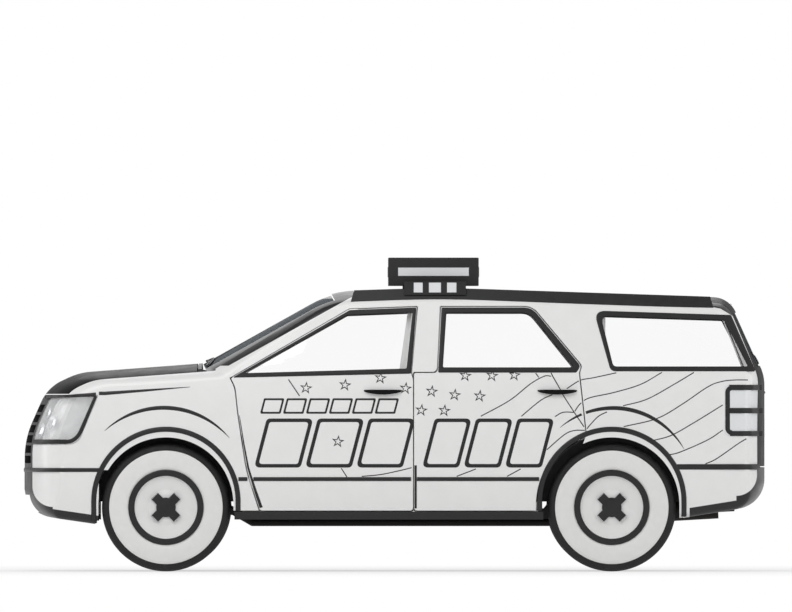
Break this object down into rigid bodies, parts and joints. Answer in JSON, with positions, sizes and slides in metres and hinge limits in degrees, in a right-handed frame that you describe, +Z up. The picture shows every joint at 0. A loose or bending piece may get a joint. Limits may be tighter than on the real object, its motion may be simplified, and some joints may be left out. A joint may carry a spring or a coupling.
{
  "type": "police sport utility vehicle",
  "caption": "Full-size police sport utility vehicle with a roof lamp bar, four side doors, hood, tailgate, steered front wheels and a hollow cabin",
  "frame": {"origin": "on the ground, under the middle of the vehicle", "axes": "+X forwards, +Y to the vehicle's left, +Z up"},
  "size_m": [5, 1.9834, 2.114],
  "materials": {
    "white_paint": "gloss white body paint",
    "black_paint": "satin black body paint",
    "black_trim": "satin black moulded plastic",
    "clear_glass": "clear toughened glass",
    "clear_lens": "clear moulded lens",
    "seat_cloth": "grey woven seat cloth",
    "dark_steel": "black chassis paint",
    "carpet": "dark floor covering over steel",
    "cast_block": "cast engine block",
    "cast_alloy": "aluminium core",
    "bare_steel": "plain sheet steel",
    "tyre_rubber": "black tread with a white sidewall",
    "wheel_paint": "white painted steel wheel"
  },
  "bodies": {
    "body": {"bulkhead": "black_trim", "chassis_frame": "dark_steel", "dashboard": "black_trim", "engine": "cast_block", "exhaust": "bare_steel", "fender_left": "white_paint", "fender_right": "white_paint", "floor_pan": "carpet", "front_arms": "dark_steel", "front_bumper": "white_paint", "front_seats": "seat_cloth", "fuel_tank": "bare_steel", "grille": "black_trim", "headlamp_housings": "black_trim", "headlamps": "clear_lens", "light_bar": "black_trim", "light_bar_lenses": "clear_lens", "quarter_glasses": "clear_glass", "radiator": "cast_alloy", "rear_axle": "dark_steel", "rear_bench": "seat_cloth", "rear_bumper": "white_paint", "roof_panel": "white_paint", "roof_rails": "black_trim", "side_frame_left": "white_paint", "side_frame_right": "white_paint", "sill_trim": "black_trim", "steering_wheel": "black_trim", "tail_lamps": "clear_lens", "wheelhouses": "black_trim", "windscreen": "clear_glass"},
    "door_front_left": {"door_front_left": "white_paint", "window_front_left": "clear_glass"},
    "door_rear_left": {"door_rear_left": "white_paint", "window_rear_left": "clear_glass"},
    "knuckle_left": {"knuckle_left": "dark_steel"},
    "wheel_front_left": {"rim_front_left": "wheel_paint", "tyre_front_left": "tyre_rubber"},
    "wheel_rear_left": {"rim_rear_left": "wheel_paint", "tyre_rear_left": "tyre_rubber"},
    "door_front_right": {"door_front_right": "white_paint", "window_front_right": "clear_glass"},
    "door_rear_right": {"door_rear_right": "white_paint", "window_rear_right": "clear_glass"},
    "knuckle_right": {"knuckle_right": "dark_steel"},
    "wheel_front_right": {"rim_front_right": "wheel_paint", "tyre_front_right": "tyre_rubber"},
    "wheel_rear_right": {"rim_rear_right": "wheel_paint", "tyre_rear_right": "tyre_rubber"},
    "hood": {"hood": "black_paint"},
    "tailgate": {"tailgate": "black_paint", "tailgate_glass": "clear_glass"}
  },
  "joints": [
    {"name": "steer_left", "type": "hinge", "parent": "body", "child": "knuckle_left", "pos_m": [1.538, 0.797, 0.432], "axis": [0, 0, 1], "range_deg": [-30, 30]},
    {"name": "steer_right", "type": "hinge", "parent": "body", "child": "knuckle_right", "pos_m": [1.538, -0.797, 0.432], "axis": [0, 0, 1], "range_deg": [-30, 30]},
    {"name": "spin_front_left", "type": "hinge", "parent": "knuckle_left", "child": "wheel_front_left", "pos_m": [1.538, 0.822, 0.432], "axis": [0, 1, 0], "continuous": true},
    {"name": "spin_rear_left", "type": "hinge", "parent": "body", "child": "wheel_rear_left", "pos_m": [-1.462, 0.822, 0.432], "axis": [0, 1, 0], "continuous": true},
    {"name": "front_door_left", "type": "hinge", "parent": "body", "child": "door_front_left", "pos_m": [1.1, 0.992, 0.9], "axis": [0, 0, -1], "range_deg": [0, 65]},
    {"name": "rear_door_left", "type": "hinge", "parent": "body", "child": "door_rear_left", "pos_m": [-0.132, 0.992, 0.9], "axis": [0, 0, -1], "range_deg": [0, 70]},
    {"name": "spin_front_right", "type": "hinge", "parent": "knuckle_right", "child": "wheel_front_right", "pos_m": [1.538, -0.822, 0.432], "axis": [0, 1, 0], "continuous": true},
    {"name": "spin_rear_right", "type": "hinge", "parent": "body", "child": "wheel_rear_right", "pos_m": [-1.462, -0.822, 0.432], "axis": [0, 1, 0], "continuous": true},
    {"name": "front_door_right", "type": "hinge", "parent": "body", "child": "door_front_right", "pos_m": [1.1, -0.992, 0.9], "axis": [0, 0, 1], "range_deg": [0, 65]},
    {"name": "rear_door_right", "type": "hinge", "parent": "body", "child": "door_rear_right", "pos_m": [-0.132, -0.992, 0.9], "axis": [0, 0, 1], "range_deg": [0, 70]},
    {"name": "hood_lid", "type": "hinge", "parent": "body", "child": "hood", "pos_m": [1.33, 0, 1.4], "axis": [0, -1, 0], "range_deg": [0, 50]},
    {"name": "tailgate_lid", "type": "hinge", "parent": "body", "child": "tailgate", "pos_m": [-2.095, 0, 1.862], "axis": [0, 1, 0], "range_deg": [0, 75]}
  ],
  "couplings": [
    {"joint": "steer_right", "follows": "steer_left", "ratio": 1}
  ]
}
